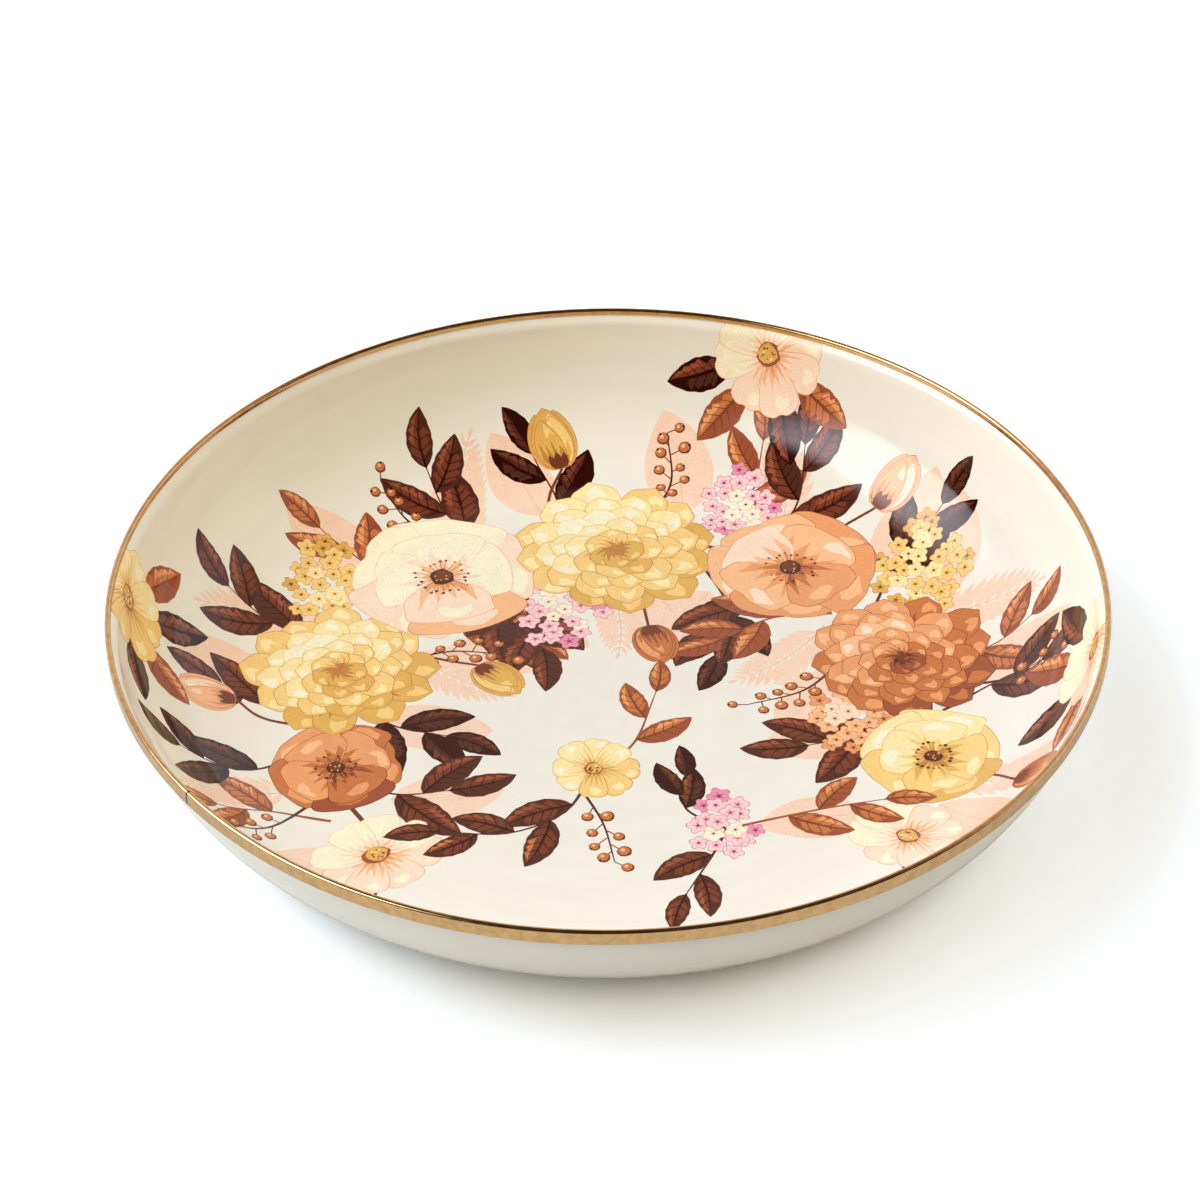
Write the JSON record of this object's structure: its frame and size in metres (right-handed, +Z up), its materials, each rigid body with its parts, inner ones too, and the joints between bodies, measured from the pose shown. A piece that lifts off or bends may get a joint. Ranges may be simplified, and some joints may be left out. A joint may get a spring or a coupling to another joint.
{
  "type": "enamel centerpiece bowl",
  "caption": "Wide shallow round table bowl of enamelled steel, with a flat base and a bronze-finished metal channel crimped over its rim.",
  "frame": {"origin": "centre of the base, on the surface that the bowl stands on", "axes": "+Z up along the bowl's axis, through its mouth; the view of the picture looks along +Y from above, with +X to the right"},
  "size_m": [0.4, 0.4, 0.062],
  "materials": {
    "enamel": "gloss",
    "bronze": "satin"
  },
  "bodies": {
    "root": {"enamelled_bowl": "enamel", "rim_band": "bronze"}
  },
  "joints": []
}
